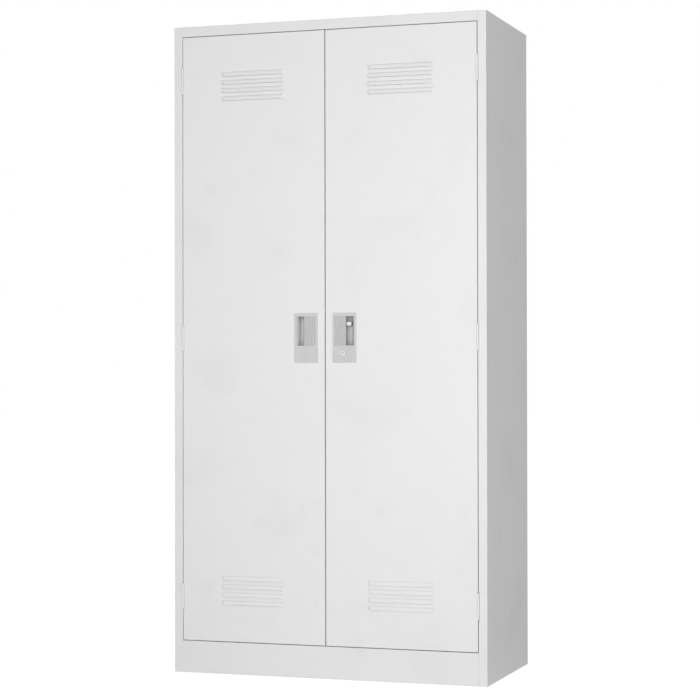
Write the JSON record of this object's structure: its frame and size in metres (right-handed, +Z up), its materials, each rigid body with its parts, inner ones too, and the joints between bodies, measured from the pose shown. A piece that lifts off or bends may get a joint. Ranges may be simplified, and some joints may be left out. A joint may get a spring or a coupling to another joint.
{
  "type": "cleaning supply cabinet",
  "caption": "Tall two-door steel cabinet with louvred doors, recessed pull handles, key lock and rod latch, shelves on one side and a broom bay on the other.",
  "frame": {"origin": "middle of the base on the floor, below the middle of the cabinet's depth", "axes": "+Z up, -Y towards the front with the doors, +X to the right seen from the front"},
  "size_m": [0.9, 0.4543, 1.8],
  "materials": {
    "casing_paint": "light grey powder coat, fine orange peel, satin",
    "door_paint": "off-white powder coat, fine orange peel, satin",
    "zinc_steel": "bright zinc plating, satin",
    "handle_plastic": "moulded grey plastic, fine grain",
    "polished_chrome": "polished chrome plating",
    "white_nylon": "moulded white nylon",
    "black_nylon": "moulded black nylon",
    "bumper_rubber": "soft grey-black rubber",
    "tray_plastic": "moulded grey plastic, fine grain"
  },
  "bodies": {
    "cabinet": {"adjustable_shelf_1": "casing_paint", "adjustable_shelf_2": "casing_paint", "adjustable_shelf_3": "casing_paint", "back_panel": "casing_paint", "catch_screws": "zinc_steel", "centre_partition": "casing_paint", "door_bumpers": "bumper_rubber", "drip_tray": "tray_plastic", "floor_pan": "casing_paint", "foot_glides": "black_nylon", "left_frame_hinge_leaves": "door_paint", "left_hinge_pins": "zinc_steel", "left_side_panel": "casing_paint", "magnetic_catch": "white_nylon", "plinth_panel": "casing_paint", "rear_base_rail": "casing_paint", "right_frame_hinge_leaves": "door_paint", "right_hinge_pins": "zinc_steel", "right_side_panel": "casing_paint", "shelf_clips": "zinc_steel", "shelf_uprights": "zinc_steel", "tool_hooks": "zinc_steel", "tool_rail": "casing_paint", "tool_rail_screws": "zinc_steel", "top_panel": "casing_paint", "top_shelf": "casing_paint"},
    "right_door": {"right_door_panel": "door_paint", "right_door_hinge_leaves": "door_paint", "right_door_stiffeners": "door_paint", "right_handle_cup": "handle_plastic", "spindle_bush": "handle_plastic", "right_strike_plate": "zinc_steel", "cloth_rail": "polished_chrome", "cloth_rail_brackets": "zinc_steel", "cloth_rail_screws": "zinc_steel", "rod_guides": "white_nylon", "latch_case": "zinc_steel", "latch_case_screws": "zinc_steel", "lock_barrel": "polished_chrome", "lock_nut": "zinc_steel"},
    "left_door": {"left_door_panel": "door_paint", "left_door_hinge_leaves": "door_paint", "left_door_stiffeners": "door_paint", "left_handle_cup": "handle_plastic", "left_strike_plate": "zinc_steel", "astragal_strip": "door_paint"},
    "thumb_latch": {"thumb_turn": "polished_chrome", "latch_rotor": "zinc_steel"},
    "upper_rod": {"upper_latch_rod": "zinc_steel", "upper_latch_yoke": "zinc_steel"},
    "lower_rod": {"lower_latch_rod": "zinc_steel", "lower_latch_yoke": "zinc_steel", "rod_stop_lug": "zinc_steel"},
    "lock_core": {"lock_plug": "zinc_steel", "lock_cam": "zinc_steel", "cam_screw": "zinc_steel"}
  },
  "joints": [
    {"name": "right_door_swing", "type": "hinge", "parent": "cabinet", "child": "right_door", "pos_m": [0.425, -0.2258, 0.93], "axis": [0, 0, 1], "range_deg": [0, 175]},
    {"name": "left_door_swing", "type": "hinge", "parent": "cabinet", "child": "left_door", "pos_m": [-0.425, -0.2258, 0.93], "axis": [0, 0, -1], "range_deg": [0, 175]},
    {"name": "latch_turn", "type": "hinge", "parent": "right_door", "child": "thumb_latch", "pos_m": [0.0625, -0.2, 0.96825], "axis": [0, 1, 0], "range_deg": [0, 90]},
    {"name": "upper_rod_slide", "type": "slide", "parent": "right_door", "child": "upper_rod", "axis": [0, 0, 1], "range_m": [0, 0.015]},
    {"name": "lower_rod_slide", "type": "slide", "parent": "right_door", "child": "lower_rod", "axis": [0, 0, -1], "range_m": [0, 0.015]},
    {"name": "key_turn", "type": "hinge", "parent": "right_door", "child": "lock_core", "pos_m": [0.0475, -0.2, 0.88875], "axis": [0, -1, 0], "range_deg": [0, 90]}
  ],
  "couplings": [
    {"joint": "latch_turn", "follows": "upper_rod_slide", "rad_per_m": 104.71},
    {"joint": "lower_rod_slide", "follows": "upper_rod_slide", "ratio": 1}
  ]
}
